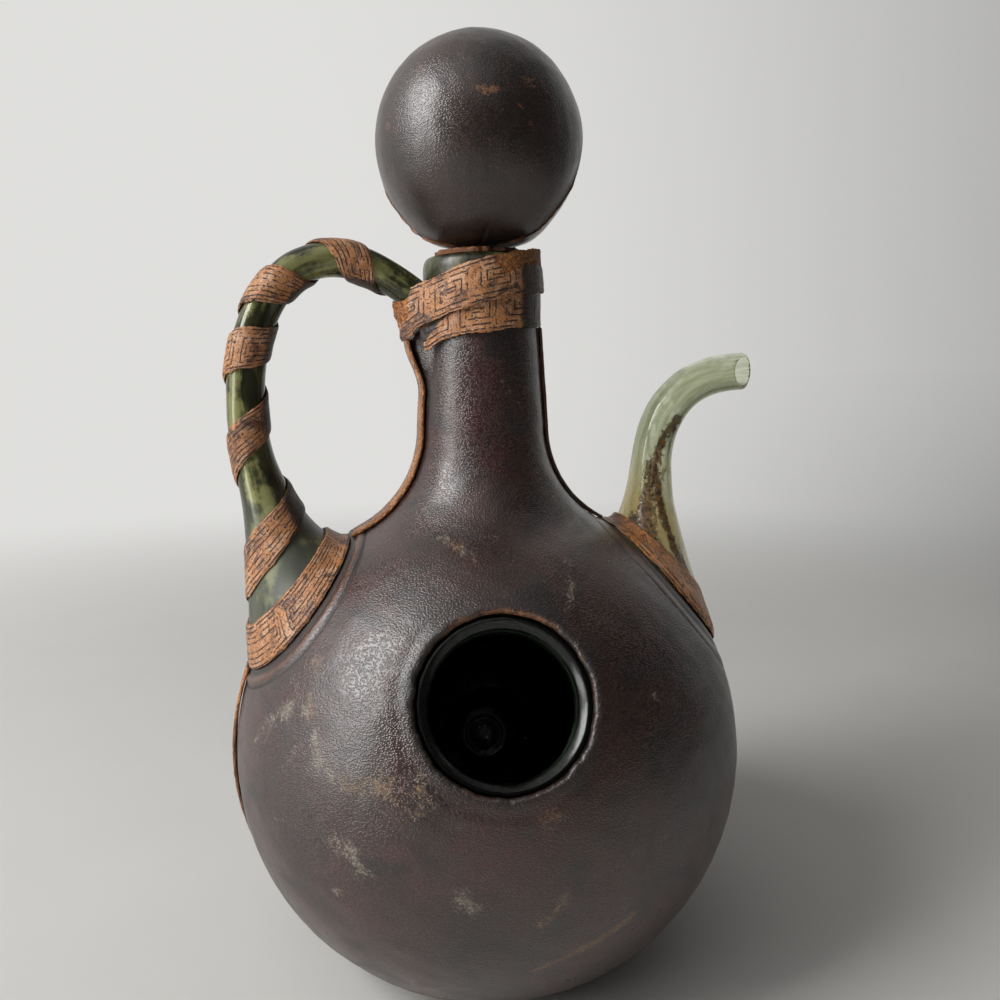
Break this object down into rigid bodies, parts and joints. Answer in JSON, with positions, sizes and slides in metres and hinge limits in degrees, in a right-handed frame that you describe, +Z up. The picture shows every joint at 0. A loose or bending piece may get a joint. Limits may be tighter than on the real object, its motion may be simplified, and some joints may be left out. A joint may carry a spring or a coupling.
{
  "type": "leather-wrapped decanter",
  "caption": "Round blown-glass decanter dressed in dark leather, with an ice pocket in its front, a hollow handle, a curved pouring spout, tooled strips and a lift-out ball stopper.",
  "frame": {"origin": "middle of the flat base, on the surface that the decanter stands on", "axes": "+Z up along the neck, -Y out of the ice mouth's side, -X to the handle, +X to the spout"},
  "size_m": [0.193, 0.1818, 0.3216],
  "materials": {
    "bottle_glass": "thick dark green blown glass, streaked",
    "spout_glass": "thin pale green blown glass with brown stain inside",
    "dark_leather": "near-black brown pebbled leather, rubbed and scuffed",
    "tooled_leather": "tan leather strip tooled with a key pattern, ragged edges",
    "cork": "natural cork",
    "core_wood": "plain turned wood"
  },
  "bodies": {
    "decanter": {"glass_vessel": "bottle_glass", "glass_handle": "bottle_glass", "glass_spout": "spout_glass", "ice_pocket": "bottle_glass", "front_leather_panel": "dark_leather", "back_leather_panel": "dark_leather", "base_leather_cup": "dark_leather", "seam_strip_handle_upper": "tooled_leather", "seam_strip_handle_lower": "tooled_leather", "seam_strip_spout_upper": "tooled_leather", "seam_strip_spout_lower": "tooled_leather", "handle_foot_band": "tooled_leather", "spout_foot_band": "tooled_leather", "neck_band_lower": "tooled_leather", "neck_band_upper": "tooled_leather", "handle_wrap": "tooled_leather"},
    "stopper": {"stopper_ball_core": "core_wood", "stopper_leather_front": "dark_leather", "stopper_leather_back": "dark_leather", "stopper_leather_washer": "tooled_leather", "stopper_cork": "cork", "stopper_dowel": "core_wood"}
  },
  "joints": [
    {"name": "stopper_lift", "type": "slide", "parent": "decanter", "child": "stopper", "axis": [0, 0, 1], "range_m": [0, 0.05]}
  ]
}
